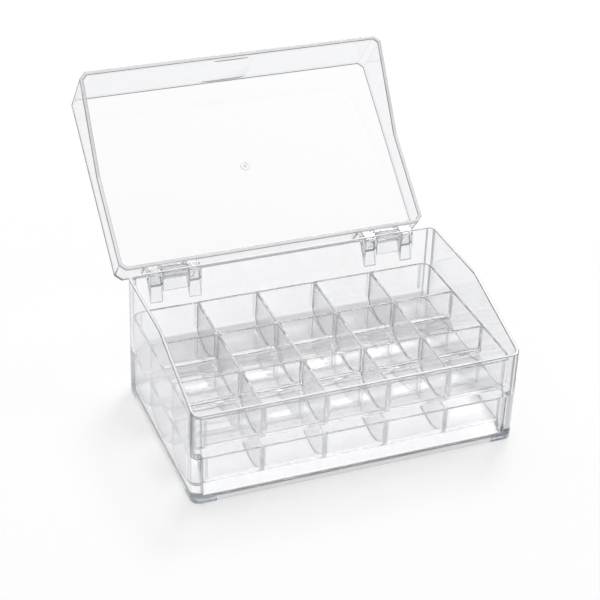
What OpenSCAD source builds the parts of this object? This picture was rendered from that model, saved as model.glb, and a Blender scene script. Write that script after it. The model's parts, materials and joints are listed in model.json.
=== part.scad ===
// Clear sewing box: a tray case with a hinged lid and two lift-out compartment trays.
// Origin at the middle of the case on the table plane, X to the right, Y to the back, Z up.
// The lid is drawn open, resting against its stop.

/* [Case] */
// Outside width of the case
case_w = 250; // [248:1:256]
// Outside depth of the case
case_d = 155; // [154:1:160]
// Height of the front rim above the table
front_h = 75; // [73:0.5:78]
// Height of the back rim above the table
back_h = 98.5; // [97:0.5:102]
// Place of the kink in the side rims, measured back from the middle
kink_y = 0; // [-4:1:8]
// Thickness of the case walls
case_wall = 2.5; // [2:0.1:2.5]
// Outside radius of the upright corners of the case
case_corner_r = 6.5; // [5:0.5:8]
// Height of the inside floor above the table
floor_h = 5.2; // [5:0.1:5.2]
// Thickness of the floor
floor_t = 2.2; // [1.8:0.1:2.4]

/* [Feet and posts] */
// Length of each leg of the four corner feet
foot_leg = 18; // [14:1:22]
// Width of the legs of the corner feet
foot_w = 4.5; // [4:0.5:6]
// Height of the feet below the bottom edge of the walls
foot_drop = 0.8; // [0.5:0.1:1.2]
// Radius of the round pad in the middle of the underside
pad_r = 5; // [4:0.5:8]
// Height of the tops of the corner posts above the table
post_top = 38.5; // [34:0.5:42]
// Width of the corner posts
post_w = 5.5; // [4.5:0.5:6]

/* [Lid] */
// Height of the closed lid's top face above the table
lid_top = 122; // [120:0.5:126]
// Thickness of the lid walls
lid_wall = 2.2; // [2:0.1:2.6]
// Size of the chamfer on the lid's upright corners
lid_chamfer = 5; // [4:0.5:6]
// Height of the thicker bead along the lid's rim
bead_h = 2.6; // [2:0.2:4]
// Thickness of the bead along the lid's rim
bead_t = 3; // [2.8:0.1:3.4]
// Width of the thumb scoop in the front of the lid
scoop_w = 42; // [30:1:50]
// Depth of the thumb scoop
scoop_depth = 1; // [0.6:0.1:1.2]
// Angle between the closed lid and the open lid
open_angle = 140.7; // [90:0.1:141]

/* [Hinges] */
// Distance from the middle of the case to the middle of each hinge
hinge_x = 87; // [70:1:95]
// Overall width of each hinge
hinge_w = 40; // [36:1:44]
// Distance from the back wall to the hinge axis
axis_back = 7.7; // [7.7:0.1:8.5]
// Depth of the hinge axis below the back rim
axis_drop = 6; // [5.8:0.1:6.4]
// Outside radius of the knuckles
knuckle_r = 5.2; // [4.8:0.1:5.2]
// Radius of the hinge pins
pin_r = 1.5; // [1.2:0.1:2]

/* [Trays] */
// Width of the trays
tray_w = 243; // [241:0.5:243]
// Depth of the trays
tray_d = 145.6; // [145:0.2:145.6]
// Height of the lower tray's rim above the table
lower_top = 34.6; // [33:0.2:35]
// Height of the upper tray's rim above the table
upper_top = 67.8; // [66:0.2:69]
// Distance between the long dividers
column_pitch = 47.3; // [46:0.1:48]
// Distance from the middle of a tray to each cross divider
row_edge = 25.8; // [24:0.1:27]
// Outside radius of the round-bottomed rows
trough_r = 40; // [38:1:46]
// Thickness of the tray walls and floors
tray_wall = 1.8; // [1.5:0.1:2]
// Thickness of the dividers
divider_t = 2; // [1.6:0.1:2.4]

/* [Hidden] */
$fn = 96;

// Overshoot that keeps cuts clear of the faces they cut through
over = 1;

// Case
inner_corner_r = case_corner_r - case_wall;
floor_under = floor_h - floor_t;
back_y = case_d / 2;

// Lid
lid_gap = 0.3;
lid_top_inside = lid_top - lid_wall;
scoop_r = (pow(scoop_w / 2, 2) + pow(scoop_depth, 2)) / (2 * scoop_depth);
scoop_bottom = front_h + 9;
scoop_top = lid_top - 5;
gate_r = 4;
gate_ring_r = 2.4;
gate_dot_r = 1.2;
gate_h = 0.5;

// Hinges
axis_y = back_y + axis_back;
axis_z = back_h - axis_drop;
ear_w = 9.6;
side_gap = 0.3;
running_gap = 0.06;
plate_t = 2;
base_plate_top = back_h - 2.5;
base_plate_bottom = back_h - 18;
gusset_bottom = back_h - 27;
gusset_tip = 1.5;
lid_plate_bottom = back_h + 1.1;
lid_plate_top = lid_plate_bottom + 13;
web_h = 5;

// Trays
tray_corner_r = 8.5;
post_clearance = 0.6;
tray_back_gap = 0.4;
stack_gap = 0.2;
tray_y = back_y - case_wall - tray_back_gap - tray_d / 2;
lower_bottom = floor_h + stack_gap;
upper_bottom = lower_top + stack_gap;
row_lines = [-tray_d / 2, -row_edge, row_edge, tray_d / 2];
column_lines = [-tray_w / 2, for (i = [-1.5 : 1 : 1.5]) i * column_pitch, tray_w / 2];

// How far a row or column stays clear of line i of a list of lines.
// It runs past the end lines, where the outline of the tray cuts it.
function clear_of(lines, i, gap) = (i == 0 || i == len(lines) - 1) ? -over : gap;

// Rectangle centred on the origin with round corners.
module rounded_rect(w, d, r) {
    square([w - 2 * r, d], center = true);
    square([w, d - 2 * r], center = true);
    for (sx = [-1, 1], sy = [-1, 1])
        translate([sx * (w / 2 - r), sy * (d / 2 - r)]) circle(r);
}

// Rectangle centred on the origin with its corners cut off at 45 degrees.
module chamfered_rect(w, d, c) {
    polygon([
        [w / 2 - c, -d / 2], [w / 2, -d / 2 + c], [w / 2, d / 2 - c], [w / 2 - c, d / 2],
        [-w / 2 + c, d / 2], [-w / 2, d / 2 - c], [-w / 2, -d / 2 + c], [-w / 2 + c, -d / 2]
    ]);
}

// Carries a side view, drawn in Y and Z, from x0 to x1.
module along_x(x0, x1) {
    translate([x0, 0, 0]) rotate([90, 0, 90]) linear_extrude(x1 - x0) children();
}

// Everything above the line where the case and the lid meet, as a side view:
// level at the front wall, sloping up to the kink, then level to the back.
module above_rim(lift) {
    far = case_d;
    polygon([
        [-far, front_h + lift], [-case_d / 2 + case_wall, front_h + lift],
        [kink_y, back_h + lift], [far, back_h + lift], [far, 2 * lid_top], [-far, 2 * lid_top]
    ]);
}

// ---------------------------------------------------------------- case

// L-shaped foot in one corner, seen from above.
module foot_outline(sx, sy) {
    intersection() {
        rounded_rect(case_w, case_d, case_corner_r);
        translate([sx * case_w / 2, sy * case_d / 2]) difference() {
            square(2 * foot_leg, center = true);
            translate([-sx * foot_leg, -sy * foot_leg])
                square(2 * (foot_leg - foot_w), center = true);
        }
    }
}

// Corner post seen from above: the corner of the case filled up to the tray's round corner.
module post_outline(sx, sy) {
    inner_w = case_w - 2 * case_wall;
    inner_d = case_d - 2 * case_wall;
    difference() {
        intersection() {
            rounded_rect(inner_w + over, inner_d + over, inner_corner_r + over / 2);
            translate([sx * inner_w / 2, sy * inner_d / 2]) square(2 * post_w, center = true);
        }
        translate([
            sx * (tray_w / 2 - tray_corner_r), tray_y + sy * (tray_d / 2 - tray_corner_r)
        ]) circle(tray_corner_r + post_clearance);
    }
}

module base_shell() {
    color("aliceblue", 0.4) {
        difference() {
            translate([0, 0, foot_drop])
                linear_extrude(back_h - foot_drop) rounded_rect(case_w, case_d, case_corner_r);
            translate([0, 0, floor_h]) linear_extrude(back_h)
                rounded_rect(case_w - 2 * case_wall, case_d - 2 * case_wall, inner_corner_r);
            translate([0, 0, -over]) linear_extrude(floor_under + over)
                rounded_rect(case_w - 2 * case_wall, case_d - 2 * case_wall, inner_corner_r);
            along_x(-case_w, case_w) above_rim(0);
        }
        for (sx = [-1, 1], sy = [-1, 1]) {
            linear_extrude(floor_under + floor_t / 2) foot_outline(sx, sy);
            translate([0, 0, floor_under + floor_t / 2])
                linear_extrude(post_top - floor_under - floor_t / 2) post_outline(sx, sy);
        }
        cylinder(h = floor_under + floor_t / 2, r = pad_r);
    }
}

// ---------------------------------------------------------------- lid

// Turns the closed lid about the hinge axis into its open place.
module opened() {
    translate([0, axis_y, axis_z]) rotate([-open_angle, 0, 0])
        translate([0, -axis_y, -axis_z]) children();
}

// Space inside the lid when its walls are t thick, up to height z.
// The smaller inside chamfer keeps the corner walls t thick too.
module lid_cavity(t, z) {
    linear_extrude(z)
        chamfered_rect(case_w - 2 * t, case_d - 2 * t, lid_chamfer - (2 - sqrt(2)) * t);
}

module lid_closed() {
    difference() {
        linear_extrude(lid_top) chamfered_rect(case_w, case_d, lid_chamfer);
        difference() {
            lid_cavity(lid_wall, lid_top_inside);
            difference() {
                linear_extrude(lid_top) square([case_w, case_d], center = true);
                lid_cavity(bead_t, lid_top + over);
                along_x(-case_w, case_w) above_rim(lid_gap + bead_h);
            }
        }
        difference() {
            translate([0, 0, -over])
                linear_extrude(lid_top) square([case_w + over, case_d + over], center = true);
            along_x(-case_w, case_w) above_rim(lid_gap);
        }
        translate([0, scoop_depth - case_d / 2 - scoop_r, scoop_bottom])
            cylinder(h = scoop_top - scoop_bottom, r = scoop_r, $fn = 720);
    }
    // ring and dot left by the moulding gate on the inside of the top panel
    translate([0, 0, lid_top_inside - gate_h]) {
        difference() {
            cylinder(h = 2 * gate_h, r = gate_r);
            translate([0, 0, -over]) cylinder(h = over + gate_h, r = gate_ring_r);
        }
        cylinder(h = 2 * gate_h, r = gate_dot_r);
    }
}

module lid_shell() {
    color("aliceblue", 0.4) opened() lid_closed();
}

// ---------------------------------------------------------------- hinges

// Side view of an ear of the case bracket: a knuckle with a gusset running down the wall.
module ear_outline() {
    translate([axis_y, axis_z]) circle(knuckle_r);
    polygon([
        [back_y, base_plate_top], [back_y, gusset_bottom], [back_y + gusset_tip, gusset_bottom],
        [axis_y + knuckle_r * cos(30), axis_z - knuckle_r * sin(30)],
        [axis_y, axis_z + knuckle_r]
    ]);
}

// Side view of the lid bracket's knuckle with the web that joins it to its plate, closed.
module web_outline() {
    translate([axis_y, axis_z]) circle(knuckle_r);
    polygon([
        [back_y, lid_plate_bottom], [back_y, lid_plate_bottom + web_h],
        [back_y + plate_t, lid_plate_bottom + web_h],
        [axis_y + knuckle_r * cos(30), axis_z + knuckle_r * sin(30)],
        [axis_y - knuckle_r * cos(45), axis_z + knuckle_r * sin(45)]
    ]);
}

// Plate that is bonded to a wall behind a hinge, from height z0 to z1.
module hinge_plate(x, z0, z1) {
    translate([x - hinge_w / 2, back_y, z0]) cube([hinge_w, plate_t, z1 - z0]);
}

// Hole for a hinge pin, from x0 to x1.
module pin_hole(x0, x1, r) {
    translate([x0, axis_y, axis_z]) rotate([0, 90, 0]) cylinder(h = x1 - x0, r = r);
}

module hinge_base_bracket(x) {
    color("lightsteelblue", 0.6) difference() {
        union() {
            hinge_plate(x, base_plate_bottom, base_plate_top);
            along_x(x - hinge_w / 2, x - hinge_w / 2 + ear_w) ear_outline();
            along_x(x + hinge_w / 2 - ear_w, x + hinge_w / 2) ear_outline();
        }
        pin_hole(x - hinge_w, x + hinge_w, pin_r);
    }
}

module hinge_lid_bracket(x) {
    knuckle_half = hinge_w / 2 - ear_w - side_gap;
    color("lightsteelblue", 0.6) opened() difference() {
        union() {
            hinge_plate(x, lid_plate_bottom, lid_plate_top);
            along_x(x - knuckle_half, x + knuckle_half) web_outline();
        }
        pin_hole(x - hinge_w, x + hinge_w, pin_r + running_gap);
    }
}

module hinge_pin(x) {
    color("lightsteelblue", 0.6) pin_hole(x - hinge_w / 2, x + hinge_w / 2, pin_r);
}

// ---------------------------------------------------------------- trays

// Side view of row j of a tray: a box whose bottom is an arc of radius r.
// Arcs of one row are concentric, and gap is what the row leaves for the cross dividers.
module row_outline(j, bottom, top, r, gap) {
    y0 = row_lines[j] + clear_of(row_lines, j, gap);
    y1 = row_lines[j + 1] - clear_of(row_lines, j + 1, gap);
    intersection() {
        translate([(row_lines[j] + row_lines[j + 1]) / 2, bottom + trough_r]) circle(r, $fn = 240);
        translate([y0, bottom]) square([y1 - y0, top - bottom]);
    }
}

// A tray of round-bottomed rows, cut into compartments by long and cross dividers.
module tray(bottom, top) {
    last_row = len(row_lines) - 2;
    last_column = len(column_lines) - 2;
    gap = divider_t / 2;
    translate([0, tray_y, 0]) difference() {
        intersection() {
            translate([0, 0, bottom]) linear_extrude(top - bottom)
                rounded_rect(tray_w, tray_d, tray_corner_r);
            along_x(-tray_w, tray_w)
                for (j = [0 : last_row]) row_outline(j, bottom, top + over, trough_r, 0);
        }
        intersection() {
            translate([0, 0, bottom]) linear_extrude(top - bottom + over) rounded_rect(
                tray_w - 2 * tray_wall, tray_d - 2 * tray_wall, tray_corner_r - tray_wall);
            for (i = [0 : last_column])
                along_x(column_lines[i] + clear_of(column_lines, i, gap),
                        column_lines[i + 1] - clear_of(column_lines, i + 1, gap))
                    for (j = [0 : last_row])
                        row_outline(j, bottom, top + 2 * over, trough_r - tray_wall, gap);
        }
    }
}

module upper_tray() {
    color("lightcyan", 0.4) tray(upper_bottom, upper_top);
}

module lower_tray() {
    color("lightcyan", 0.4) tray(lower_bottom, lower_top);
}

base_shell();
lid_shell();
upper_tray();
lower_tray();
hinge_base_bracket(-hinge_x);  // left_hinge_base_bracket
hinge_base_bracket(hinge_x);  // right_hinge_base_bracket
hinge_lid_bracket(-hinge_x);  // left_hinge_lid_bracket
hinge_lid_bracket(hinge_x);  // right_hinge_lid_bracket
hinge_pin(-hinge_x);  // left_hinge_pin
hinge_pin(hinge_x);  // right_hinge_pin
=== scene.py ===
"""Clear moulded sewing box with two lift-out compartment trays, built around its CAD frame.

Every shape is a closed surface worked out in metres in the frame's own axes: X to the right, Y to
the hinged back and Z up, with the origin on the table plane under the middle of the case.
"""

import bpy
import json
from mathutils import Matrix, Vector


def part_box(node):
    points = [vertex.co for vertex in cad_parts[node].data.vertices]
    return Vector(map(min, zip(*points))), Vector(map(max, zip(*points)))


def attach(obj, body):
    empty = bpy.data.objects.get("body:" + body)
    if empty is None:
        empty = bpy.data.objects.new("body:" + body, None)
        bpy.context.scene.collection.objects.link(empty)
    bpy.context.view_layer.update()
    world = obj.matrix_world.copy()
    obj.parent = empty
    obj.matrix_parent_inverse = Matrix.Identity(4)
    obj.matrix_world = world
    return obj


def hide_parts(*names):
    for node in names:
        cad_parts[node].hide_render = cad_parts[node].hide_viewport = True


bl_info = {
    "name": "Clear Sewing Box",
    "version": (1, 0, 0),
    "blender": (4, 5, 0),
    "location": "View3D > Sidebar > Sewing Box",
    "description": "Builds a clear sewing box with a hinged lid and two compartment trays",
    "category": "Object",
}

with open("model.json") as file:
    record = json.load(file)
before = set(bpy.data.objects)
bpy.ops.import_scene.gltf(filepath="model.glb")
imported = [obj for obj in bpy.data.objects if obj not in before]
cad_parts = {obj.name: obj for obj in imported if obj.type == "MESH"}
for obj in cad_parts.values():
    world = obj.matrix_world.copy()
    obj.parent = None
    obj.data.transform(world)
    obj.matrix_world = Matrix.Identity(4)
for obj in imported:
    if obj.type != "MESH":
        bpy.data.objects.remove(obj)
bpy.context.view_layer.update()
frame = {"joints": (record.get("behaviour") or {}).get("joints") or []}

import json

import bpy
import numpy as np
from bpy.props import FloatProperty, FloatVectorProperty, PointerProperty
from mathutils import Matrix, Vector

JOINTS = {joint["name"]: joint for joint in frame["joints"]}
HINGE = JOINTS["lid_hinge"]
AXIS_Y, AXIS_Z = HINGE["pos_m"][1], HINGE["pos_m"][2]
OPEN_ANGLE = np.radians(HINGE["range_deg"][1])
CASE_LOW, CASE_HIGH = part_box("base_shell")

# Joined points lie within this distance of each other
WELD = 1e-6
# Air left between two mouldings that touch, so that each keeps its own surface
AIR = 4e-5
# Least upward part of the normal of a face that counts as lying flat
FLAT = 0.93
# Light bends this much on its way into the clear plastic
PLASTIC_IOR = 1.46


# ---- settings


def length(name, description, default):
    """A size in metres that the sidebar shows with its unit."""
    return FloatProperty(name=name, description=description, default=default, min=0.0,
                         precision=5, subtype="DISTANCE", unit="LENGTH")


def number(name, description, default, top=1.0):
    """A plain number from zero to top."""
    return FloatProperty(name=name, description=description, default=default, min=0.0, max=top)


def tint(name, description, default):
    """A colour picked in linear light."""
    return FloatVectorProperty(name=name, description=description, default=default, size=3,
                               subtype="COLOR", min=0.0, max=1.0)


def angle(name, description, degrees):
    """An angle that the sidebar shows in degrees."""
    return FloatProperty(name=name, description=description, default=float(np.radians(degrees)),
                         subtype="ANGLE", unit="ROTATION")


class SEWINGBOX_PG_case(bpy.types.PropertyGroup):
    """Sizes of the case"""

    wall: length("Wall", "Thickness of the case walls", 0.0025)
    corner: length("Corner radius", "Outside radius of the upright corners", 0.0065)
    front: length("Front rim", "Height of the front rim above the table", 0.075)
    rim_round: length("Rim rounding", "Radius along the edges of the rim", 0.0007)
    edge_round: length("Edge rounding", "Radius along the bottom edges", 0.0005)
    floor_top: length("Floor top", "Height of the inside floor above the table", 0.0052)
    floor_under: length("Floor underside", "Height of the floor's underside", 0.003)
    skirt: length("Skirt gap", "Height of the walls' bottom edge above the table", 0.0008)
    floor_fillet: length("Floor fillet", "Radius where the floor meets the walls", 0.0016)
    post_top: length("Post top", "Height of the corner posts' tops", 0.0385)
    post_width: length("Post width", "Width of the corner posts", 0.0055)
    post_gap: length("Post clearance", "Clearance between a post and the trays", 0.0006)
    foot_leg: length("Foot leg", "Length of each leg of a corner foot", 0.018)
    foot_width: length("Foot width", "Width of the legs of a corner foot", 0.0045)
    pad: length("Pad radius", "Radius of the round pad under the middle", 0.005)


class SEWINGBOX_PG_lid(bpy.types.PropertyGroup):
    """Sizes of the lid, as if it were shut"""

    wall: length("Wall", "Thickness of the lid walls", 0.0022)
    chamfer: length("Chamfer", "Size of the chamfer on the upright corners", 0.005)
    top: length("Top", "Height of the shut lid's top face", 0.122)
    gap: length("Rim gap", "Gap between the shut lid and the case", 0.0003)
    rim_round: length("Rim rounding", "Radius along the edges of the rim", 0.0007)
    edge_round: length("Edge rounding", "Outside radius where the top meets the walls", 0.0011)
    inside_round: length("Inside rounding", "Inside radius where the top meets the walls", 0.0008)
    bead_height: length("Bead height", "Height of the thicker bead along the rim", 0.0026)
    bead_wall: length("Bead thickness", "Thickness of the bead along the rim", 0.003)
    scoop_width: length("Scoop width", "Width of the thumb scoop", 0.042)
    scoop_depth: length("Scoop depth", "Depth of the thumb scoop", 0.001)
    scoop_low: length("Scoop bottom", "Height of the thumb scoop's lower edge", 0.084)
    scoop_high: length("Scoop top", "Height of the thumb scoop's upper edge", 0.117)
    gate: length("Gate mark", "Outside radius of the ring under the top", 0.004)


class SEWINGBOX_PG_tray(bpy.types.PropertyGroup):
    """Sizes of the trays"""

    wall: length("Wall", "Thickness of the outside walls and the floor", 0.0018)
    divider: length("Divider", "Thickness of the dividers", 0.002)
    column: length("Column", "Distance between the long dividers", 0.0473)
    row: length("Row", "Distance from the middle to each cross divider", 0.0258)
    trough: length("Trough radius", "Outside radius of the round-bottomed rows", 0.04)
    corner: length("Corner radius", "Outside radius of the upright corners", 0.0085)
    pocket_corner: length("Pocket corner", "Radius of a compartment's upright corners", 0.0018)
    end_fillet: length("End fillet", "Radius where a floor meets the cross dividers", 0.0045)
    side_fillet: length("Side fillet", "Radius where a floor meets the long dividers", 0.001)
    outside_fillet: length("Outside fillet", "Radius along the bottom of the ends", 0.0028)
    edge_round: length("Edge rounding", "Radius along the top edges", 0.0005)
    draft: length("Draft", "How much a compartment narrows down to its floor", 0.00025)


class SEWINGBOX_PG_hinge(bpy.types.PropertyGroup):
    """Sizes of the hinges"""

    knuckle: length("Knuckle radius", "Outside radius of the knuckles", 0.0052)
    pin: length("Pin radius", "Radius of the pins", 0.0015)
    ear: length("Ear width", "Width of each ear of the case bracket", 0.0096)
    gap: length("Side gap", "Gap between an ear and the middle knuckle", 0.0003)
    plate: length("Plate", "Thickness of the plates on the walls", 0.002)
    base_plate: length("Case plate height", "Height of the plate on the case", 0.0155)
    rim_drop: length("Case plate drop", "Distance from the back rim to the plate's top", 0.0025)
    gusset: length("Gusset", "Distance from the back rim to the gussets' tips", 0.027)
    lid_plate: length("Lid plate height", "Height of the plate on the lid", 0.013)
    lid_lift: length("Lid plate lift", "Distance from the back rim to the lid's plate", 0.0011)
    web: length("Web", "Height of the web that joins the middle knuckle to its plate", 0.005)
    edge_round: length("Edge rounding", "Radius along the edges", 0.0004)


class SEWINGBOX_PG_finish(bpy.types.PropertyGroup):
    """Finish of the clear plastic, with the tints that paint shade and highlights on some of its
    faces
    """

    # The case's plastic colour with painted shade: it is darker than the floor's, so the front and
    # back walls and the posts look greyer
    case_tint_and_shade: tint("Case tint", "Colour of the case's plastic", (0.945, 0.947, 0.954))
    floor_tint: tint("Case floor tint", "Colour of the case's floor", (0.985, 0.985, 0.987))
    # The rims and the case's bottom band are painted bright: a near white that lets only a quarter
    # of the light through is a painted highlight for the light that gathers in them
    rim_highlight_tint: tint("Rim tint", "Colour of the rims, where light gathers", (0.97, 0.972, 0.976))
    rim_highlight_clear: number("Rim clearness", "How much of the rims' light goes through", 0.25)
    floor_clear: number("Floor clearness", "How much of the floors' light goes through", 0.9)
    # The rounded edges are tinted grey as painted shade, for the dark lines that light bent in
    # clear edges gives
    edge_shade_tint: tint("Edge tint", "Colour of the rounded edges", (0.64, 0.65, 0.675))
    tray_edge_shade_tint: tint("Tray edge tint", "The same on the trays", (0.78, 0.79, 0.81))
    # The case's left and right walls are tinted darker than the rest as painted shade
    side_shade_tint: tint("Side tint", "Colour of the case's sides", (0.9, 0.904, 0.918))
    # The lid's walls are tinted darker than its top as painted shade
    lid_wall_shade_tint: tint("Lid wall tint", "Colour of the lid's walls", (0.9, 0.904, 0.915))
    # The dividers are tinted a touch greyer than the trays as painted shade, for the grey sheen on
    # them
    divider_shade_tint: tint("Divider tint", "Colour of the trays' dividers", (0.99, 0.991, 0.994))
    feet_tint: tint("Feet tint", "Colour of the corner feet", (0.55, 0.6, 0.68))
    lid_tint: tint("Lid tint", "Colour of the lid's plastic", (0.985, 0.986, 0.989))
    tray_tint: tint("Tray tint", "Colour of the trays' plastic", (0.993, 0.993, 0.996))
    hinge_tint: tint("Hinge tint", "Colour of the hinges' plastic", (0.955, 0.957, 0.963))
    depth_tint: tint("Depth tint", "Colour that long ways through it take on", (0.66, 0.67, 0.7))
    shade: tint("Shadow tint", "What a wall lets through to a shadow", (0.72, 0.72, 0.723))
    rim_shade: tint("Rim shadow tint", "The same for the rims", (0.45, 0.45, 0.455))
    lid_shade: tint("Lid shadow tint", "The same for the lid", (0.95, 0.95, 0.95))
    tray_shade: tint("Tray shadow tint", "The same for the trays", (0.995, 0.995, 0.995))


class SEWINGBOX_PG_stage(bpy.types.PropertyGroup):
    """Camera and light"""

    azimuth: angle("Azimuth", "Direction of the view, turned from the back to the right", 22.58)
    elevation: angle("Elevation", "How far the view looks down", 31.77)
    roll: angle("Roll", "Turn of the camera about its view", -2.34)
    distance: length("Distance", "From the camera to what it looks at", 1.2988)
    lens: number("Lens", "Focal length in millimetres on 36 mm", 104.4, 500.0)
    key: number("Key light", "Power of the main soft light in watts", 84.0, 1000.0)
    fill: number("Fill light", "Power of the second light in watts", 4.0, 1000.0)
    floor_tint: tint("Floor", "Colour of the floor", (0.37, 0.37, 0.372))
    # The floor's glow is painted light: it fades away from the middle and is brighter under the
    # case, where it lifts the shadow
    floor_painted_glow: number("Floor glow", "Light that the floor gives from below", 0.6)
    under_case_painted_glow: number("Glow under the case", "How much brighter it is there", 1.72, 5.0)


class SEWINGBOX_PG_settings(bpy.types.PropertyGroup):
    """All the settings of the sewing box"""

    case: PointerProperty(type=SEWINGBOX_PG_case)
    lid: PointerProperty(type=SEWINGBOX_PG_lid)
    tray: PointerProperty(type=SEWINGBOX_PG_tray)
    hinge: PointerProperty(type=SEWINGBOX_PG_hinge)
    finish: PointerProperty(type=SEWINGBOX_PG_finish)
    stage: PointerProperty(type=SEWINGBOX_PG_stage)


# ---- surfaces


def quarter(steps):
    """Cosine and sine of angles that run from 0 to 90 degrees in equal steps, as pairs."""
    turn = np.linspace(0, np.pi / 2, steps + 1)
    return np.column_stack([np.cos(turn), np.sin(turn)])


def bend(radius, steps=4):
    """Pairs radius (1 - cos), radius (1 - sin) along a quarter circle, from (0, radius) on."""
    return radius * (1 - quarter(steps))


def circle(count):
    """Points of the unit circle at count equal steps."""
    turn = np.linspace(0, 2 * np.pi, count, endpoint=False)
    return np.column_stack([np.cos(turn), np.sin(turn)])


def lathe(profile, count=48, joined=False):
    """A profile of radii and heights turned about the upright axis."""
    return loft([ring(circle(count) * r, height) for r, height in profile], joined=joined)


def spread(count):
    """count shares between 0 and 1 that crowd towards both ends: (1 - cos(pi t)) / 2."""
    return (1 - np.cos(np.pi * np.arange(1, count + 1) / (count + 1))) / 2


def loft(rings, keep=None, joined=False):
    """Faces between neighbouring rings of points.

    Point i of ring k joins point i + 1 of the same ring and the same two points of ring k + 1.
    keep says which of these faces are made, and joined closes the last ring onto the first.
    A ring whose points all lie on one spot is a pole, and its faces end as triangles.
    """
    rings = np.asarray(rings, float)
    count, size = rings.shape[:2]
    near = np.arange(count * size).reshape(count, size)
    far = np.roll(near, -1, axis=0) if joined else near[1:]
    near = near if joined else near[:-1]
    faces = np.stack([near, np.roll(near, -1, 1), np.roll(far, -1, 1), far], -1)
    faces = faces.reshape(-1, 4) if keep is None else faces[keep]
    return rings.reshape(-1, 3), faces


def pole(x, y, z, size):
    """A ring of size points that all lie on one spot."""
    return np.tile([x, y, z], (size, 1))


def ring(outline, height):
    """Points of a flat outline lifted to a height, which may differ from point to point."""
    return np.column_stack([outline, np.broadcast_to(height, len(outline))])


def outward(points, faces):
    """The faces turned so that the shell they close has a positive volume."""
    a, b, c, d = (points[faces[:, i]] for i in range(4))
    volume = np.einsum("ij,ij->", a, np.cross(b, c)) + np.einsum("ij,ij->", a, np.cross(c, d))
    return faces if volume > 0 else faces[:, ::-1]


def join(parts):
    """One set of points and faces from several, with the faces' numbers moved on to suit."""
    starts = np.cumsum([0] + [len(points) for points, _ in parts[:-1]])
    faces = [part_faces + start for (_, part_faces), start in zip(parts, starts)]
    return np.concatenate([points for points, _ in parts]), np.concatenate(faces)


def put_piece(name, shells, material, body, nodes, others=()):
    """Makes one piece from closed shells and seats it on its body.

    Points closer than WELD become one, a face keeps the corners that stay apart, and the
    faces' corners go into the mesh as one run of numbers. others are pairs of a material and
    a test, which says from the faces' normals and centres, as rows of X, Y and Z, which faces
    take it.
    """
    points, faces = join([(shell, outward(shell, faces)) for shell, faces in shells])
    cells = np.round(points / WELD + 0.2718).astype(np.int64)
    _, first, where = np.unique(cells, axis=0, return_index=True, return_inverse=True)
    faces = where.ravel()[faces]
    apart = faces != np.roll(faces, 1, axis=1)
    whole = apart.sum(1) > 2
    faces, apart = faces[whole], apart[whole]
    totals = apart.sum(1)
    mesh = bpy.data.meshes.new(name)
    mesh.vertices.add(len(first))
    mesh.vertices.foreach_set("co", points[first].astype(np.float32).ravel())
    mesh.loops.add(int(totals.sum()))
    mesh.loops.foreach_set("vertex_index", faces[apart].astype(np.int32))
    mesh.polygons.add(len(faces))
    starts = np.concatenate([[0], np.cumsum(totals)[:-1]])
    mesh.polygons.foreach_set("loop_start", starts.astype(np.int32))
    mesh.polygons.foreach_set("use_smooth", np.ones(len(faces), bool))
    mesh.update(calc_edges=True)
    mesh.validate()
    mesh.materials.append(material)
    normal, centre = np.empty(len(faces) * 3), np.empty(len(faces) * 3)
    mesh.polygons.foreach_get("normal", normal)
    mesh.polygons.foreach_get("center", centre)
    which = np.zeros(len(faces), np.int32)
    for number, (other, test) in enumerate(others, 1):
        mesh.materials.append(other)
        which[test(normal.reshape(-1, 3).T, centre.reshape(-1, 3).T)] = number
    mesh.polygons.foreach_set("material_index", which)
    piece = bpy.data.objects.new(name, mesh)
    bpy.context.scene.collection.objects.link(piece)
    normals = piece.modifiers.new("Flat faces stay flat", "WEIGHTED_NORMAL")
    normals.weight, normals.keep_sharp = 60, False
    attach(piece, body)
    if nodes:
        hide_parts(*nodes)


def box_ring(x0, x1, y0, y1, radii, corner_steps=6, side_points=10):
    """Outline of a rectangle whose four corners each have their own radius.

    Each corner is an arc about its own centre, and the points of a side lie between the
    ends of its two arcs at the shares that spread gives. It starts at the right and runs
    anticlockwise through the corners at the back right, back left, front left, front right.
    """
    radii = np.asarray(radii, float)
    sx, sy = np.array([1, -1, -1, 1]), np.array([1, 1, -1, -1])
    middle = np.column_stack([
        np.where(sx > 0, x1, x0) - sx * radii,
        np.where(sy > 0, y1, y0) - sy * radii,
    ])
    turn = np.linspace(0, np.pi / 2, corner_steps + 1)[None] + (np.arange(4) * np.pi / 2)[:, None]
    arcs = middle[:, None] + radii[:, None, None] * np.stack([np.cos(turn), np.sin(turn)], -1)
    t = spread(side_points)[None, :, None]
    sides = arcs[:, -1:] * (1 - t) + np.roll(arcs, -1, 0)[:, :1] * t
    return np.concatenate([arcs, sides], 1).reshape(-1, 2)


# ---- finishes


def add_node(tree, kind, values=None, **settings):
    """A new shader node with values on its sockets and with its own settings."""
    node = tree.nodes.new("ShaderNode" + kind)
    for name, value in settings.items():
        setattr(node, name, value)
    for name, value in (values or {}).items():
        node.inputs[name].default_value = value
    return node


def span(tree, start, stop, first, last, ease="SMOOTHSTEP"):
    """A node that turns values from start to stop into values from first to last."""
    values = {"From Min": start, "From Max": stop, "To Min": first, "To Max": last}
    return add_node(tree, "MapRange", values, interpolation_type=ease)


def wire(tree, *links):
    """Links nodes. Each link is a node, its output, the next node and its input."""
    for source, output, target, socket in links:
        tree.links.new(source.outputs[output], target.inputs[socket])


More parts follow.
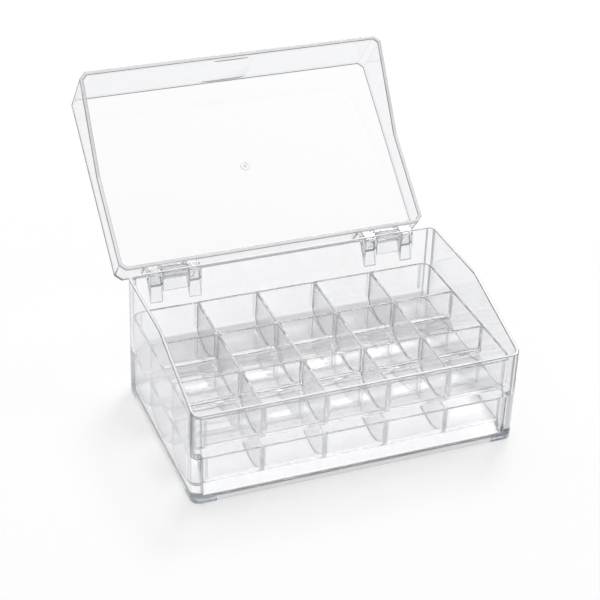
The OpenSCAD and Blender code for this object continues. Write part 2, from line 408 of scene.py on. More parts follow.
def clear_plastic(name, colour, shade, roughness, ripple, depth, flow_scale=(1, 1, 1), clear=1.0):
    """Polished clear plastic: it bends and mirrors what is around it.

    Slow flow marks, drawn out by flow_scale, and a fine grain tilt the surface a little and
    change its gloss, and long ways through the wall take on the depth tint. A shadow ray goes
    straight through, so that the shadow under the box stays as light as clear plastic gives.
    """
    finish = bpy.context.scene.sewing_box.finish
    material = bpy.data.materials.new(name)
    material.use_nodes = True
    tree = material.node_tree
    tree.nodes.clear()
    place = add_node(tree, "TexCoord")
    drawn = add_node(tree, "Mapping", {"Scale": flow_scale})
    flow = add_node(tree, "TexNoise", {"Scale": 26.0, "Detail": 1.5, "Distortion": 0.6})
    grain = add_node(tree, "TexNoise", {"Scale": 900.0, "Detail": 3.0})
    gloss = span(tree, 0.35, 0.75, roughness * 0.6, roughness * 1.5, "LINEAR")
    wave = add_node(tree, "Bump", {"Strength": ripple, "Distance": 0.0006})
    body = add_node(tree, "BsdfPrincipled", {
        "Base Color": (*colour, 1), "Transmission Weight": clear, "IOR": PLASTIC_IOR,
    })
    through = add_node(tree, "BsdfTransparent", {"Color": (*shade, 1)})
    path = add_node(tree, "LightPath")
    mix = add_node(tree, "MixShader")
    absorb = add_node(tree, "VolumeAbsorption", {
        "Color": (*finish.depth_tint, 1), "Density": depth,
    })
    out = add_node(tree, "OutputMaterial")
    wire(
        tree, (place, "Object", drawn, "Vector"), (drawn, "Vector", flow, "Vector"),
        (place, "Object", grain, "Vector"), (grain, "Fac", gloss, "Value"),
        (gloss, "Result", body, "Roughness"), (flow, "Fac", wave, "Height"),
        (wave, "Normal", body, "Normal"), (path, "Is Shadow Ray", mix, 0),
        (body, "BSDF", mix, 1), (through, "BSDF", mix, 2), (mix, "Shader", out, "Surface"),
        (absorb, "Volume", out, "Volume"),
    )
    return material


def painted_shade_edges(colour):
    """The rounded edges, tinted grey as painted shade for the thin dark lines of clear plastic."""
    shade = bpy.context.scene.sewing_box.finish.rim_shade
    return clear_plastic("Clear edges", colour, shade, 0.03, 0.04, 4.0)


def floor_paper(stage):
    """Pale matt paper with a faint, slow change of shade, and a painted glow though it is no lamp.

    Its painted glow fades with the distance from the middle. It is brighter where the larger of
    |x| and |y|, each as a share of the case's half size, is below one, which is under the case: a
    painted pool of light that lifts the shadow there.
    """
    material = bpy.data.materials.new("Pale paper")
    material.use_nodes = True
    tree = material.node_tree
    body = tree.nodes["Principled BSDF"]
    body.inputs["Roughness"].default_value = 0.75
    body.inputs["Specular IOR Level"].default_value = 0.2
    body.inputs["Emission Strength"].default_value = stage.floor_painted_glow
    place = add_node(tree, "TexCoord")
    away = add_node(tree, "VectorMath", operation="LENGTH")
    fade = span(tree, 0.9, 1.8, 1.0, 0.5)
    per_half = (1 / CASE_HIGH.x, 1 / CASE_HIGH.y, 0)
    shares = add_node(tree, "VectorMath", {1: per_half}, operation="MULTIPLY")
    size = add_node(tree, "VectorMath", operation="ABSOLUTE")
    parts = add_node(tree, "SeparateXYZ")
    larger = add_node(tree, "Math", operation="MAXIMUM")
    under = span(tree, 0.9, 1.0, stage.under_case_painted_glow, 1.0)
    both = add_node(tree, "Math", operation="MULTIPLY")
    cloud = add_node(tree, "TexNoise", {"Scale": 1.5})
    shades = add_node(tree, "ValToRGB")
    dark, light = shades.color_ramp.elements
    dark.color = (*[c * 0.985 for c in stage.floor_tint], 1)
    light.color = (*stage.floor_tint, 1)
    wire(
        tree, (place, "Object", away, 0), (away, "Value", fade, "Value"),
        (place, "Object", shares, 0), (shares, "Vector", size, 0),
        (size, "Vector", parts, "Vector"), (parts, "X", larger, 0), (parts, "Y", larger, 1),
        (larger, "Value", under, "Value"), (fade, "Result", both, 0),
        (under, "Result", both, 1), (both, "Value", body, "Emission Color"),
        (place, "Object", cloud, "Vector"), (cloud, "Fac", shades, "Fac"),
        (shades, "Color", body, "Base Color"),
    )
    return material


# ---- case


def rim_height(y, case):
    """Height of the case's rim: level at the front, a straight slope up to the middle, level
    to the back. It is the front height plus the rise times a share of y cut off at 0 and 1."""
    start = CASE_LOW.y + case.wall
    return case.front + (CASE_HIGH.z - case.front) * np.clip((y - start) / -start, 0, 1)


def case_sides():
    """Places between two corners, first along an end and then along the front: at the ends of
    the corner feet's legs, and crowded about the kink in the rim."""
    leg = bpy.context.scene.sewing_box.case.foot_leg
    near = np.array([0.0, 0.0006, 0.0018, CASE_HIGH.y - leg])
    far = CASE_HIGH.x - leg
    return np.concatenate([-near[:0:-1], near]), np.linspace(-far, far, 5)


def case_outline(inset, case):
    """Outline of the case moved in by inset, with matching points whatever the inset.

    Each corner is a point on the straight wall, an arc about the corner's own centre and a
    point on the next wall. Then come the points of the side, at fixed places along it.
    """
    half_w, half_d = CASE_HIGH.x - inset, CASE_HIGH.y - inset
    thick = case.wall + case.post_width
    middle = np.array([CASE_HIGH.x - case.corner, CASE_HIGH.y - case.corner])
    arc = middle + (case.corner - inset) * quarter(8)
    corner = np.vstack([[half_w, CASE_HIGH.y - thick], arc, [CASE_HIGH.x - thick, half_d]])
    return all_round(corner, half_w, half_d)


def all_round(back, half_w, half_d, front=None, across=None):
    """The whole outline from its right corners, which the left ones mirror.

    Points at fixed places along each side stand between the corners. front is the front
    right corner, where it isn't the back one mirrored.
    """
    kink, places = case_sides()
    across = places if across is None else across
    front = back * [1, -1] if front is None else front
    left = np.column_stack([np.full(len(kink), -half_w), kink[::-1]])
    near = np.column_stack([across, np.full(len(across), -half_d)])
    flip = np.array([-1, 1])
    return np.concatenate([
        back, -near, back[::-1] * flip, left, front * flip, near, front[::-1], -left
    ])


def post_outline(inset, case, tray, tray_box):
    """Outline of the inside with its corner posts, point for point like case_outline.

    A post fills the corner up to an arc about the middle of the tray's round corner, cut off
    at the post's width on both walls.
    """
    half_w, half_d = CASE_HIGH.x - case.wall, CASE_HIGH.y - case.wall
    reach = tray.corner + case.post_gap
    x, y = half_w - case.post_width, half_d - case.post_width
    corners = []
    for sign, edge in ((1, tray_box[1].y), (-1, -tray_box[0].y)):
        middle = np.array([tray_box[1].x, edge]) - tray.corner
        first, last = np.arcsin((y - middle[1]) / reach), np.arccos((x - middle[0]) / reach)
        turn = np.linspace(first, last, 9)
        arc = middle + reach * np.column_stack([np.cos(turn), np.sin(turn)])
        arc = np.minimum(arc, [half_w - 1e-4, half_d - 1e-4])
        corners.append(np.vstack([[half_w, y], arc, [x, half_d]]) * np.array([1, sign]))
    outline = all_round(corners[0], half_w, half_d, corners[1])
    return outline - np.sign(outline) * inset


def case_shell(case, tray, tray_box):
    """The case as one profile carried round its outline.

    The profile runs from the middle of the underside out to the skirt, round its bottom edge,
    up the outside, over the rim, down the inside, onto the corner posts, down to the floor
    and in to the floor's middle. Edges are quarter circles, and the rim follows rim_height.
    """
    r, e, f, wall, under = (case.rim_round, case.edge_round, case.floor_fillet, case.wall,
                            case.floor_under)
    profile = [(wall + e, under)]
    profile += [(wall + b, under - a) for a, b in bend(e)]
    profile += [(wall - a, case.skirt + b) for a, b in bend(e)]
    profile += [(b, case.skirt + a) for a, b in bend(e)]
    profile += [(0, case.floor_top - e)]
    rim = [*bend(r), *((wall - b, a) for a, b in bend(r))]
    rings = [ring(case_outline(inset, case), height) for inset, height in profile]
    for inset, drop in rim:
        outline = case_outline(inset, case)
        rings.append(ring(outline, rim_height(outline[:, 1], case) - drop))
    rings.append(ring(case_outline(wall, case), case.post_top + 0.0005))
    rings.append(ring(post_outline(0, case, tray, tray_box), case.post_top))
    for a, b in bend(f):
        rings.append(ring(post_outline(a, case, tray, tray_box), case.floor_top + b))
    size = len(rings[0])
    return loft([pole(0, 0, under, size), *rings, pole(0, 0, case.floor_top, size)])


def foot_shell(case, sx, sy):
    """An L-shaped foot: a stepped profile carried round one corner of the case.

    The step lets the skirt of the wall stand on the foot, and both ends are closed.
    """
    half_w, half_d, e = CASE_HIGH.x, CASE_HIGH.y, case.edge_round
    low, high, least = case.skirt - AIR, case.floor_under - AIR, 0.0001
    inner, outer = case.foot_width, case.wall + AIR
    profile = ((e, 0), (inner - e, 0), (inner, e), (inner, high), (outer, high), (outer, low),
               (least, low), (least, e))
    middle = np.array([half_w - case.corner, half_d - case.corner])
    rings = []
    for inset, height in profile:
        arc = middle + max(case.corner - inset, 0.0005) * quarter(6)
        first = half_w - inset, half_d - case.foot_leg
        last = half_w - case.foot_leg, half_d - inset
        rings.append(ring(np.vstack([first, arc, last]) * np.array([sx, sy]), height))
    sections = np.swapaxes(np.array(rings), 0, 1)
    ends = [np.tile(sections[i].mean(0), (len(profile), 1)) for i in (0, -1)]
    return loft(np.concatenate([ends[:1], sections, ends[1:]]))


def pad_shell(case):
    """The round pad under the middle."""
    e, top = case.edge_round, case.floor_under - AIR
    return lathe([(0, 0), (case.pad - e, 0), (case.pad, e), (case.pad, top), (0, top)])


class SEWINGBOX_OT_case(bpy.types.Operator):
    """Build the case with its floor, corner posts and feet"""

    bl_idname = "sewing_box.case"
    bl_label = "Case"

    def execute(self, context):
        settings = context.scene.sewing_box
        case, tray, finish = settings.case, settings.tray, settings.finish
        shade, skirt_top = finish.shade, case.floor_top - 0.001
        # the front and back walls and the posts keep the plastic's colour, darkened as painted
        # shade
        plastic = clear_plastic("Clear case plastic", finish.case_tint_and_shade, shade, 0.015, 0.04, 6.0)
        # the rim and the bottom band take the painted highlight
        rim = clear_plastic("Bright case rim", finish.rim_highlight_tint, finish.rim_shade, 0.2, 0.04, 0.0,
                            clear=finish.rim_highlight_clear)
        floor = clear_plastic("Clear case floor", finish.floor_tint, finish.tray_shade,
                              0.03, 0.04, 2.0, clear=finish.floor_clear)
        # the sides are a darker copy of the case plastic: painted shade
        side = clear_plastic("Clear case side", finish.side_shade_tint, shade, 0.02, 0.04, 6.0)
        satin = clear_plastic("Satin feet", finish.feet_tint, shade, 0.25, 0.1, 10.0)
        inside_x = CASE_HIGH.x - (case.wall + case.edge_round + 0.0005)

        def on_rim(normal, centre):
            """The flat top of the rim, which takes the painted highlight."""
            return (normal[2] > FLAT) & (centre[2] > case.front - 0.002)

        def on_edge(normal, centre):
            """The roundings along the rim, at the bottom and on the upright corners."""
            rounding = rim_height(centre[1], case) - case.rim_round
            low = (centre[2] < case.skirt + case.edge_round) & (normal[2] < 0)
            along = abs(normal[:2]).max(0)
            corner = (along > 0.99) & (along < 0.9995) & (centre[2] > case.floor_top)
            return ((normal[2] < FLAT) & (centre[2] > rounding)) | low | corner

        def on_side(normal, centre):
            """The left and right walls, which take the darker tint of painted shade."""
            return (abs(normal[0]) > 0.9) & (centre[2] > case.floor_top)

        def on_band(normal, centre):
            """The bottom band of the walls, between the corner feet, which takes the rim's painted
            highlight.
            """
            far_x = abs(centre[0]) > CASE_HIGH.x - case.foot_leg
            far_y = abs(centre[1]) > CASE_HIGH.y - case.foot_leg
            return (abs(normal[2]) < 0.4) & (centre[2] < skirt_top) & ~(far_x & far_y)

        def on_floor(normal, centre):
            """Both faces of the floor."""
            inside = (abs(centre[0]) < inside_x) | (centre[2] > case.floor_under)
            low = centre[2] < case.floor_top + case.floor_fillet
            return (abs(normal[2]) > 0.3) & low & inside

        # the roundings of the case take the grey tint of painted shade
        shells = [case_shell(case, tray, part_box("lower_tray")), pad_shell(case)]
        put_piece("Box_body", shells, plastic, "base", ["base_shell"],
                  [(side, on_side), (rim, on_rim), (rim, on_band), (floor, on_floor),
                   (painted_shade_edges(finish.edge_shade_tint), on_edge)])
        feet = [foot_shell(case, sx, sy) for sx in (-1, 1) for sy in (-1, 1)]
        put_piece("Box_feet", feet, satin, "base", [])
        return {"FINISHED"}


# ---- trays


def softly_least(heights, blend):
    """The least of several heights, rounded where two cross: minus blend times the logarithm
    of the sum of exp(-height / blend)."""
    least = heights.min(0)
    return least - blend * np.log(np.exp(-(heights - least) / blend).sum(0))


def tray_shell(tray, low, high):
    """One tray, put together from the surfaces of its fifteen compartments.

    For each compartment the rings start under its middle and grow out to the centre lines of
    its dividers. On an outside wall they go up to the rim. They go on over the top of the
    dividers, round the edge, down the compartment's walls, round the fillet and along the
    floor to its middle. The underside and the floor of a row are arcs of circles about one
    line, and neighbours share the points on their common lines.
    """
    middle_y = (low.y + high.y) / 2
    columns = np.array([low.x, *(tray.column * np.array([-1.5, -0.5, 0.5, 1.5])), high.x])
    rows = np.array([low.y, middle_y - tray.row, middle_y + tray.row, high.y])
    centres = (rows[:-1] + rows[1:]) / 2
    edge, wall, half = bend(tray.edge_round), tray.wall, tray.divider / 2
    draft, least, blend = tray.draft, 0.0004, 0.00012

    def rise(gap, radius):
        """Height of a quarter circle over the floor at a gap from the wall."""
        depth = np.clip(radius - gap, 0, radius)
        return radius - np.sqrt(radius**2 - depth**2)

    def floor_of(points, centre, x_span, y_span):
        """The row's inner arc, raised by a fillet along all four walls."""
        x, y = points.T
        base = low.z + tray.trough - np.sqrt((tray.trough - wall) ** 2 - (y - centre) ** 2)
        side_gap = np.minimum(x - x_span[0], x_span[1] - x)
        end_gap = np.minimum(y - y_span[0], y_span[1] - y)
        return base + rise(side_gap, tray.side_fillet) + rise(end_gap, tray.end_fillet)

    def under(points):
        """The lowest arc of the three rows, raised round the tray's outside edge."""
        y = points[:, 1]
        reach = np.abs(y[None] - centres[:, None])
        arcs = low.z + tray.trough - np.sqrt(np.maximum(tray.trough**2 - reach**2, 1e-8))
        bottom = softly_least(arcs, blend)
        ends = rise(high.x - np.abs(points[:, 0]), tray.outside_fillet)
        walls = rise(np.minimum(y - low.y, high.y - y), tray.outside_fillet)
        return bottom + ends + walls

    parts = []
    for i in range(5):
        for j in range(3):
            right, left, back, front = i == 4, i == 0, j == 2, j == 0
            rim = np.array([right and back, left and back, left and front, right and front])
            x0, x1, y0, y1 = columns[i], columns[i + 1], rows[j], rows[j + 1]

            def cell(inset):
                """The compartment's share of the tray, moved in by inset at the outside."""
                return box_ring(x0 + inset * left, x1 - inset * right, y0 + inset * front,
                                y1 - inset * back, np.where(rim, tray.corner - inset, 0))

            px0, px1 = x0 + (wall if left else half), x1 - (wall if right else half)
            py0, py1 = y0 + (wall if front else half), y1 - (wall if back else half)

            def pocket(inset):
                """The compartment's opening, moved in by inset."""
                radii = np.where(rim, tray.corner - wall, tray.pocket_corner) - inset
                return box_ring(px0 + inset, px1 - inset, py0 + inset, py1 - inset,
                                np.maximum(radii, least))

            outline = cell(0)
            heart = np.array([(x0 + x1) / 2, (y0 + y1) / 2])
            grow = np.array([0, 0.25, 0.5, 0.7, 0.83, 0.9, 0.94, 0.965, 0.98, 0.99, 0.997, 1])
            flat = heart + (outline - heart) * grow[:, None, None]
            below = [ring(p, under(p)) for p in flat]
            beside = [below[-1]]
            beside += [ring(cell(a), high.z - b) for a, b in edge]
            side, step = np.divmod(np.arange(len(outline)), len(outline) // 4)
            on_arc = step < 6
            outer = np.where(on_arc, rim[side], np.array([back, left, front, right])[side])
            keep = np.tile(outer, (len(beside) - 1, 1))
            above = [beside[-1]]
            above += [ring(pocket(-b), high.z - a) for a, b in edge]
            spans = (px0 + draft, px1 - draft), (py0 + draft, py1 - draft)
            for deep in (0, 0.0001, 0.0003, 0.0006, 0.001, 0.0016, 0.0024, 0.0034, 0.0046):
                points = pocket(draft + deep)
                above.append(ring(points, floor_of(points, centres[j], *spans)))
            core = np.array([(px0 + px1) / 2, (py0 + py1) / 2])
            for shrink in (0.85, 0.68, 0.48, 0.25, 0):
                inner = core + (points - core) * shrink
                above.append(ring(inner, floor_of(inner, centres[j], *spans)))
            parts += [loft(below), loft(beside, keep), loft(above)]
    return join(parts)


class SEWINGBOX_OT_trays(bpy.types.Operator):
    """Build the upper and the lower tray"""

    bl_idname = "sewing_box.trays"
    bl_label = "Trays"

    def execute(self, context):
        settings = context.scene.sewing_box
        tray, finish = settings.tray, settings.finish
        shade = finish.tray_shade
        plastic = clear_plastic("Clear tray plastic", finish.tray_tint, shade, 0.02, 0.06, 2.0)
        floors = clear_plastic("Satin tray floors", finish.tray_tint, shade, 0.15, 0.2, 2.0,
                               (0.12, 1, 1), finish.floor_clear)
        # the dividers take a greyer tint as painted shade
        dividers = clear_plastic("Satin dividers", finish.divider_shade_tint, shade, 0.22, 0.1, 2.0)
        # the trays' roundings take the grey tint of painted shade
        edges = painted_shade_edges(finish.tray_edge_shade_tint)
        for place in ("upper", "lower"):
            low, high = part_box(f"{place}_tray")

            def on_floor(normal, centre):
                """The round floors of the compartments."""
                return (normal[2] > 0.55) & (centre[2] < high.z - 0.003)

            def on_divider(normal, centre):
                """The cross dividers, which take the greyer tint of painted shade."""
                inside = abs(centre[0]) < high.x - 2 * tray.wall
                return (abs(normal[0]) > 0.8) & inside

            def on_edge(normal, centre):
                """The roundings along the top edges and a strip of each upright corner."""
                along = abs(normal[:2]).max(0)
                corner = (along > 0.985) & (along < 0.997) & (abs(normal[2]) < 0.05)
                top = (abs(normal[2]) < 0.97) & (centre[2] > high.z - tray.edge_round)
                return top | corner

            put_piece(f"{place.title()}_tray", [tray_shell(tray, low, high)], plastic,
                      f"tray_{place}", [f"{place}_tray"],
                      [(floors, on_floor), (dividers, on_divider), (edges, on_edge)])
        return {"FINISHED"}


# ---- lid


def turned(points, turn):
    """Points turned about the hinge axis by an angle."""
    cos, sin = np.cos(turn), np.sin(turn)
    y, z = points[:, 1] - AXIS_Y, points[:, 2] - AXIS_Z
    return np.column_stack([
        points[:, 0], AXIS_Y + y * cos - z * sin, AXIS_Z + y * sin + z * cos
    ])


def opened(points):
    """Points of the shut lid turned into the open place."""
    return turned(points, -OPEN_ANGLE)


def lid_outline(inset, lid):
    """Outline of the lid moved in by inset: a rectangle with its corners cut off.

    Each of the cut's two ends is rounded over three points. The front has points across the
    thumb scoop, and the sides have points about the kink in the rim.
    """
    half_w, half_d = CASE_HIGH.x - inset, CASE_HIGH.y - inset
    cut = lid.chamfer - (2 - np.sqrt(2)) * inset
    a, b = np.array([half_w, half_d - cut]), np.array([half_w - cut, half_d])
    soft, bulge, slant = 0.0006, 0.17, (b - a) / np.linalg.norm(b - a)
    corner = np.array([
        a - [0, soft], a + bulge * soft * (slant - [0, 1]), a + soft * slant,
        b - soft * slant, b + bulge * soft * ([-1, 0] - slant), b - [soft, 0],
    ])
    half, beside = lid.scoop_width / 2, lid.scoop_width / 2 + 0.02
    across = np.concatenate([[-beside], np.linspace(-half, half, 25), [beside]])
    return all_round(corner, half_w, half_d, across=across)


def lid_shell(lid, case):
    """The shut lid as one profile carried round its outline.

    It runs from the middle of the top's outside to the wall, down to the rim, round it, up
    past the bead to the top's underside and in to the middle. Heights on the walls are shares
    of the way from the rim to the top, so the rim's slope fades out upwards. The thumb scoop
    pushes the front in by its depth less x squared over twice its radius.
    """
    e, rim = lid.edge_round, bend(lid.rim_round)
    inside_top = lid.top - lid.wall
    rings = []

    def add(inset, share_up=None, height=None, lift=0.0):
        """One more ring, at a share of the wall's height, at a height or above the rim."""
        outline = lid_outline(inset, lid)
        foot = rim_height(outline[:, 1], case) + lid.gap
        if share_up is not None:
            height = foot + (lid.top - e - foot) * share_up
        elif height is None:
            height = foot + lift
        rings.append(ring(outline, height))

    size = len(lid_outline(0, lid))
    rings.append(pole(0, 0, lid.top, size))
    for a, b in bend(e):
        add(b, height=lid.top - a)
    foot, step, half = case.front + lid.gap, 0.02, lid.scoop_width / 2
    low = (lid.scoop_low - foot) / (lid.top - e - foot)
    high = (lid.scoop_high - foot) / (lid.top - e - foot)
    bow = (half**2 + lid.scoop_depth**2) / (2 * lid.scoop_depth)
    for share_up, scooped in ((high + step, 0), (high, 1), (low, 1), (low - step, 0)):
        add(0, share_up=share_up)
        wall = rings[-1]
        dip = np.clip(lid.scoop_depth - wall[:, 0] ** 2 / (2 * bow), 0, None) * scooped
        wall[:, 1] += np.where(wall[:, 1] < CASE_LOW.y + 1e-6, dip, 0)
    for a, b in rim:
        add(a, lift=b)
    for a, b in rim:
        add(lid.bead_wall - b, lift=a)
    add(lid.bead_wall, lift=lid.bead_height)
    add(lid.wall, lift=lid.bead_height + (lid.bead_wall - lid.wall))
    for a, b in bend(lid.inside_round):
        add(lid.wall + a, height=inside_top - b)
    rings.append(pole(0, 0, inside_top, size))
    points, faces = loft(rings)
    return opened(points), faces


def gate_shells(lid):
    """The ring and the dot that the mould's gate leaves under the top, as turned profiles."""
    top = lid.top - lid.wall - AIR
    low, e = top - 0.0007, 0.0003
    outer, inner, dot = lid.gate, lid.gate * 0.6, lid.gate * 0.3
    collar = [(inner, top), (inner, low + e), (inner + e, low), (outer - e, low),
              (outer, low + e), (outer, top)]
    button = [(0, top), (dot, top), (dot, low + e), (dot - e, low), (0, low)]
    shells = lathe(collar, joined=True), lathe(button)
    return [(opened(points), faces) for points, faces in shells]


class SEWINGBOX_OT_lid(bpy.types.Operator):
    """Build the lid with its thumb scoop and gate mark"""

    bl_idname = "sewing_box.lid"
    bl_label = "Lid"

    def execute(self, context):
        settings = context.scene.sewing_box
        lid, case, finish = settings.lid, settings.case, settings.finish
        shade = finish.lid_shade
        plastic = clear_plastic("Clear lid plastic", finish.lid_tint, shade, 0.015, 0.04, 6.0)
        # the lid's rim takes the painted highlight too
        rim = clear_plastic("Bright lid rim", finish.rim_highlight_tint, shade, 0.2, 0.04, 0.0,
                            clear=finish.rim_highlight_clear)
        # the walls are a darker copy of the lid plastic: painted shade
        wall = clear_plastic("Clear lid wall", finish.lid_wall_shade_tint, shade, 0.03, 0.04, 10.0)

        def shut(normal, centre):
            """The same normals and centres with the lid shut."""
            place = turned(centre.T, OPEN_ANGLE)
            return (turned((centre + normal).T, OPEN_ANGLE) - place).T, place.T

        def on_wall(normal, centre):
            """The upright walls, which take the darker tint of painted shade."""
            return abs(shut(normal, centre)[0][2]) < 0.5

        def on_rim(normal, centre):
            """The flat of the rim, which faces down and takes the painted highlight."""
            facing, place = shut(normal, centre)
            return (facing[2] < -FLAT) & (place[2] < CASE_HIGH.z + 0.002)

        def on_edge(normal, centre):
            """The roundings of the rim, the top and the chamfers."""
            facing, place = shut(normal, centre)
            up, height = facing[2], place[2]
            along = abs(facing[:2]).max(0)
            corner = (along > 0.85) & (along < 0.99) & (abs(up) < 0.15)
            level = rim_height(place[1], case) + lid.gap + lid.rim_round
            below = (up < -0.1) & (up > -FLAT) & (height < level)
            above = (up > 0.15) & (up < 0.99) & (height > lid.top - lid.edge_round)
            return below | above | corner

        # the lid's roundings take the grey tint of painted shade
        put_piece("Lid", [lid_shell(lid, case), *gate_shells(lid)], plastic, "lid",
                  ["lid_shell"],
                  [(wall, on_wall), (rim, on_rim), (painted_shade_edges(finish.edge_shade_tint), on_edge)])
        return {"FINISHED"}


# ---- hinges


def reach(turn, corners, centre):
    """Distance from a centre to the far side of a convex outline in each direction.

    Each edge is a line n . p = c, and the way to it in direction u is c / (n . u). The least
    of these is where the direction leaves the outline, and it is zero where that misses it.
    """
    corners = np.asarray(corners, float) - centre
    edges = np.roll(corners, -1, 0) - corners
    normals = np.column_stack([edges[:, 1], -edges[:, 0]])
    area = (corners[:, 0] * np.roll(corners[:, 1], -1)).sum()
    area -= (corners[:, 1] * np.roll(corners[:, 0], -1)).sum()
    normals *= np.sign(area)
    level = (normals * corners).sum(1)
    ways = np.column_stack([np.cos(turn), np.sin(turn)]) @ normals.T
    far = np.where(ways > 1e-12, np.maximum(level, 0) / np.maximum(ways, 1e-12), np.inf)
    return far.min(1)


def knuckle_shell(x0, x1, corners, hinge, bore):
    """A bored knuckle with an arm to its plate, from x0 to x1.

    Its side view is the farther of the knuckle's circle and the arm's outline in each
    direction from the axis. The rings run along the bore, out over one end, along the
    outside and back over the other end, with quarter circles at the outer edges.
    """
    centre = np.array([AXIS_Y, AXIS_Z])
    ends = np.asarray(corners) - centre
    turn = np.unique(np.concatenate([
        np.linspace(-np.pi, np.pi, 72, endpoint=False), np.arctan2(ends[:, 1], ends[:, 0])
    ]))
    side = np.maximum(reach(turn, corners, centre), hinge.knuckle)
    way = np.column_stack([np.cos(turn), np.sin(turn)])

    def at(x, radius):
        """A ring round the axis at x, with one radius for all directions or one for each."""
        radius = np.broadcast_to(radius, len(turn))[:, None]
        return np.column_stack([np.full(len(turn), x), centre + way * radius])

    edge = bend(hinge.edge_round, 3)
    first = [at(x0 + a, side - b) for a, b in edge]
    last = [at(x1 - a, side - b) for a, b in edge[::-1]]
    return loft([at(x0, bore), *first, *last, at(x1, bore)], joined=True)


def plate_shell(x0, x1, z0, z1, y0, thickness, edge):
    """A plate on a wall: a rectangle with round corners, thinned by quarter circles at both
    faces' edges."""
    y0, corner = y0 + AIR, 0.0012
    outlines = [(b, y0 + a) for a, b in bend(edge, 3)]
    outlines += [(a, y0 + thickness - b) for a, b in bend(edge, 3)]
    rings = []
    for inset, y in outlines:
        flat = box_ring(x0 + inset, x1 - inset, z0 + inset, z1 - inset, [corner - inset] * 4, 3, 1)
        rings.append(np.column_stack([flat[:, 0], np.full(len(flat), y), flat[:, 1]]))
    first, last = (pole((x0 + x1) / 2, outlines[i][1], (z0 + z1) / 2, len(rings[0]))
                   for i in (0, -1))
    return loft([first, *rings, last])


def pin_shell(x0, x1, radius):
    """A straight pin with chamfered ends, a profile turned about the hinge axis."""
    way, e = circle(40), 0.0003
    profile = [(x0, 0), (x0, radius - e), (x0 + e, radius), (x1 - e, radius), (x1, radius - e),
               (x1, 0)]
    return loft([np.column_stack([np.full(len(way), x), way * r + [AXIS_Y, AXIS_Z]])
                 for x, r in profile])


class SEWINGBOX_OT_hinges(bpy.types.Operator):
    """Build both hinges: the brackets on the case, the brackets on the lid and the pins"""

    bl_idname = "sewing_box.hinges"
    bl_label = "Hinges"

    def execute(self, context):
        settings = context.scene.sewing_box
        hinge, finish = settings.hinge, settings.finish
        plastic = clear_plastic("Clear hinge plastic", finish.hinge_tint, finish.shade,
                                0.03, 0.1, 6.0)
        # the hinges' roundings take the grey tint of painted shade
        edges = painted_shade_edges(finish.edge_shade_tint)

        def on_edge(normal, centre):
            """The roundings, which face partly to the side."""
            return (abs(normal[0]) > 0.15) & (abs(normal[0]) < 0.97)

        back, rim, k, e = CASE_HIGH.y, CASE_HIGH.z, hinge.knuckle, hinge.edge_round
        wall, slope = back + AIR, np.radians(30)
        out, down = k * np.cos(slope), k * np.sin(slope)
        tip, plate_top = rim - hinge.gusset, rim - hinge.rim_drop
        ear = [[wall, plate_top], [wall, tip], [back + 0.0015, tip],
               [AXIS_Y + out, AXIS_Z - down], [AXIS_Y, AXIS_Z + k]]
        foot = rim + hinge.lid_lift
        arm = [[AXIS_Y, AXIS_Z], [wall, foot], [wall, foot + hinge.web],
               [back + hinge.plate, foot + hinge.web], [AXIS_Y + out, AXIS_Z + down]]
        for side in ("left", "right"):
            low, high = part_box(f"{side}_hinge_base_bracket")
            x0, x1 = low.x, high.x
            inner = hinge.ear + AIR
            on_case = [knuckle_shell(x0, x0 + hinge.ear, ear, hinge, hinge.pin + AIR),
                       knuckle_shell(x1 - hinge.ear, x1, ear, hinge, hinge.pin + AIR),
                       plate_shell(x0 + inner, x1 - inner, plate_top - hinge.base_plate,
                                   plate_top, back, hinge.plate, e)]
            inner = hinge.ear + hinge.gap
            on_lid = [knuckle_shell(x0 + inner, x1 - inner, arm, hinge, hinge.pin + 2 * AIR),
                      plate_shell(x0, x1, foot, foot + hinge.lid_plate, back, hinge.plate, e)]
            on_lid = [(opened(points), faces) for points, faces in on_lid]
            for name, shells, body, node, others in (
                ("case_bracket", on_case, "base", "base_bracket", [(edges, on_edge)]),
                ("lid_bracket", on_lid, "lid", "lid_bracket", [(edges, on_edge)]),
                ("pin", [pin_shell(x0, x1, hinge.pin)], "base", "pin", []),
            ):
                put_piece(f"{side}_{name}", shells, plastic, body, [f"{side}_hinge_{node}"],
                          others)
        return {"FINISHED"}


# ---- stage


def soft_box(name, place, size, power):
    """A rectangular soft light that faces the box."""
    data = bpy.data.lights.new(name, "AREA")
    data.shape = "RECTANGLE"
    data.size, data.size_y = size
    data.energy = power
    lamp = bpy.data.objects.new(name, data)
    bpy.context.scene.collection.objects.link(lamp)
    lamp.location = place
    # a lamp seen through several walls would show as grain
    lamp.visible_transmission = False
    ahead = Vector((0, 0, 0.05)) - Vector(place)
    lamp.rotation_euler = ahead.to_track_quat("-Z", "Y").to_euler()


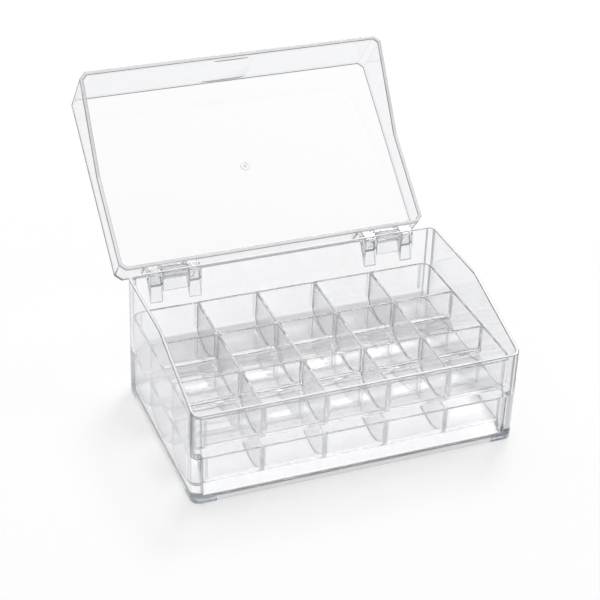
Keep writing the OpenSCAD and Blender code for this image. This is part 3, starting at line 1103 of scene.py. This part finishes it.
def studio_sky():
    """Light from all round: grey near the horizon, for the dark lines in clear edges, bright
    overhead, for an even floor, a little brighter to the back, and darker to both sides."""
    world = bpy.data.worlds.new("Studio")
    bpy.context.scene.world = world
    world.use_nodes = True
    tree = world.node_tree
    place = add_node(tree, "TexCoord")
    split = add_node(tree, "SeparateXYZ")
    ramp = add_node(tree, "ValToRGB")
    rear = span(tree, -0.3, 0.6, 0.9, 1.25)
    side = add_node(tree, "Math", operation="ABSOLUTE")
    card = span(tree, 0.55, 0.9, 1.0, 0.25)
    shaded = add_node(tree, "VectorMath", operation="SCALE")
    marks = ramp.color_ramp.elements
    marks[0].position, marks[0].color = 0.0, (0.2, 0.2, 0.204, 1)
    marks[1].position, marks[1].color = 1.0, (0.78, 0.78, 0.78, 1)
    for position, value in ((0.12, 0.3), (0.36, 0.72)):
        marks.new(position).color = (value, value, value * 1.01, 1)
    back = tree.nodes["Background"]
    wire(
        tree, (place, "Generated", split, "Vector"), (split, "Z", ramp, "Fac"),
        (split, "X", side, 0), (side, "Value", card, "Value"), (ramp, "Color", shaded, 0),
        (card, "Result", shaded, "Scale"), (shaded, "Vector", back, "Color"),
        (split, "Y", rear, "Value"), (rear, "Result", back, "Strength"),
    )


class SEWINGBOX_OT_stage(bpy.types.Operator):
    """Set up the pale floor, the soft studio light and the camera"""

    bl_idname = "sewing_box.stage"
    bl_label = "Stage"

    def execute(self, context):
        scene = context.scene
        stage = scene.sewing_box.stage
        half, sunk = 6.0, -0.0001
        mesh = bpy.data.meshes.new("Floor")
        corners = ((-half, -half), (half, -half), (half, half), (-half, half))
        mesh.from_pydata([(x, y, sunk) for x, y in corners], [], [(0, 1, 2, 3)])
        mesh.materials.append(floor_paper(stage))
        floor = bpy.data.objects.new("Floor", mesh)
        scene.collection.objects.link(floor)

        target = Vector((-0.004, 0.034, 0.08))
        az, el, roll = stage.azimuth, stage.elevation, stage.roll
        ahead = Vector((np.sin(az) * np.cos(el), np.cos(az) * np.cos(el), -np.sin(el)))
        level = ahead.cross(Vector((0, 0, 1))).normalized()
        up = level.cross(ahead) * np.cos(roll) + level * np.sin(roll)
        right = ahead.cross(up)
        data = bpy.data.cameras.new("Camera")
        data.lens = stage.lens
        camera = bpy.data.objects.new("Camera", data)
        scene.collection.objects.link(camera)
        facing = Matrix((right, up, -ahead)).transposed().to_4x4()
        camera.matrix_world = Matrix.Translation(target - ahead * stage.distance) @ facing
        scene.camera = camera

        soft_box("Key", (1.8, 2.0, 3.4), (1.3, 1.3), stage.key)
        soft_box("Fill", (-2.8, -0.6, 2.4), (0.8, 2.4), stage.fill)
        studio_sky()
        scene.view_settings.view_transform = "Standard"
        # the stacked walls turn black where a ray is cut off before it has passed them all
        cycles = scene.cycles
        cycles.max_bounces = cycles.transmission_bounces = cycles.glossy_bounces = 128
        cycles.transparent_max_bounces = 80
        return {"FINISHED"}


# ---- sidebar


class SEWINGBOX_PT_panel(bpy.types.Panel):
    """Buttons and settings of the sewing box"""

    bl_label = "Sewing Box"
    bl_idname = "SEWINGBOX_PT_panel"
    bl_space_type = "VIEW_3D"
    bl_region_type = "UI"
    bl_category = "Sewing Box"

    def draw(self, context):
        for operator in OPERATORS:
            self.layout.operator(operator.bl_idname)
        settings = context.scene.sewing_box
        for group in settings.__annotations__:
            values, column = getattr(settings, group), self.layout.box().column()
            for key in values.__annotations__:
                column.prop(values, key)


OPERATORS = (SEWINGBOX_OT_case, SEWINGBOX_OT_trays, SEWINGBOX_OT_lid, SEWINGBOX_OT_hinges,
             SEWINGBOX_OT_stage)
GROUPS = (SEWINGBOX_PG_case, SEWINGBOX_PG_lid, SEWINGBOX_PG_tray, SEWINGBOX_PG_hinge,
          SEWINGBOX_PG_finish, SEWINGBOX_PG_stage, SEWINGBOX_PG_settings)
CLASSES = (*GROUPS, *OPERATORS, SEWINGBOX_PT_panel)


def register():
    """Registers the classes and hangs the settings on the scene."""
    for cls in CLASSES:
        bpy.utils.register_class(cls)
    bpy.types.Scene.sewing_box = PointerProperty(type=SEWINGBOX_PG_settings)


def unregister():
    """Takes the settings and the classes away again."""
    del bpy.types.Scene.sewing_box
    for cls in reversed(CLASSES):
        bpy.utils.unregister_class(cls)


def main():
    """Registers the classes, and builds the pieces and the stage."""
    register()
    bpy.ops.sewing_box.case()
    bpy.ops.sewing_box.trays()
    bpy.ops.sewing_box.lid()
    bpy.ops.sewing_box.hinges()
    bpy.ops.sewing_box.stage()


if __name__ == "__main__":
    main()
